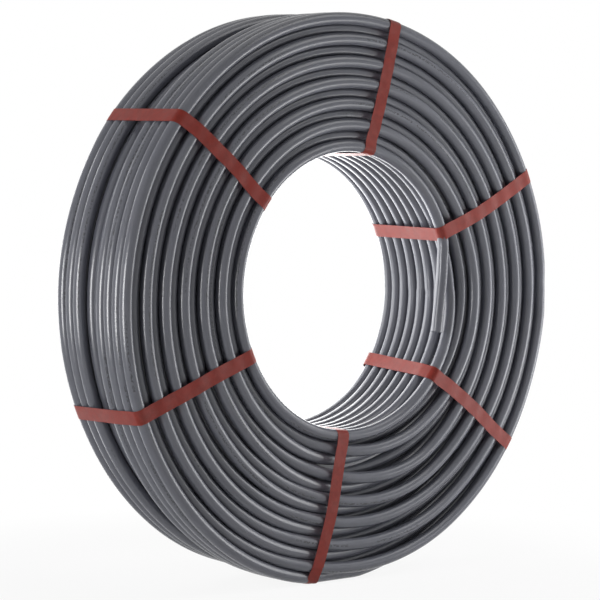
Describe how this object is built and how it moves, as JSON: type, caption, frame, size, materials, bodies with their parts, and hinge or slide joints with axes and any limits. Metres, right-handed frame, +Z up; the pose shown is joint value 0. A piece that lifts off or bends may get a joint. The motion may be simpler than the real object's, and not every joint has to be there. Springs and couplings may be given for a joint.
{
  "type": "coil of pe-rt heating pipe",
  "caption": "Ring-shaped coil of plastic heating pipe in nested turns, tied by flat tapes, with one free pipe end inside the opening.",
  "frame": {"origin": "on the floor under the middle of the coil, where the standing coil touches it", "axes": "+Y along the coil's axis, away from the end that shows the free pipe end, and +Z up"},
  "size_m": [0.7489, 0.1448, 0.7489],
  "materials": {
    "pipe": "satin grey extruded plastic",
    "tape": "thin brick red plastic tape"
  },
  "bodies": {
    "root": {"pipe_coil": "pipe", "tape_1": "tape", "tape_2": "tape", "tape_3": "tape", "tape_4": "tape", "tape_5": "tape", "tape_6": "tape"}
  },
  "joints": []
}
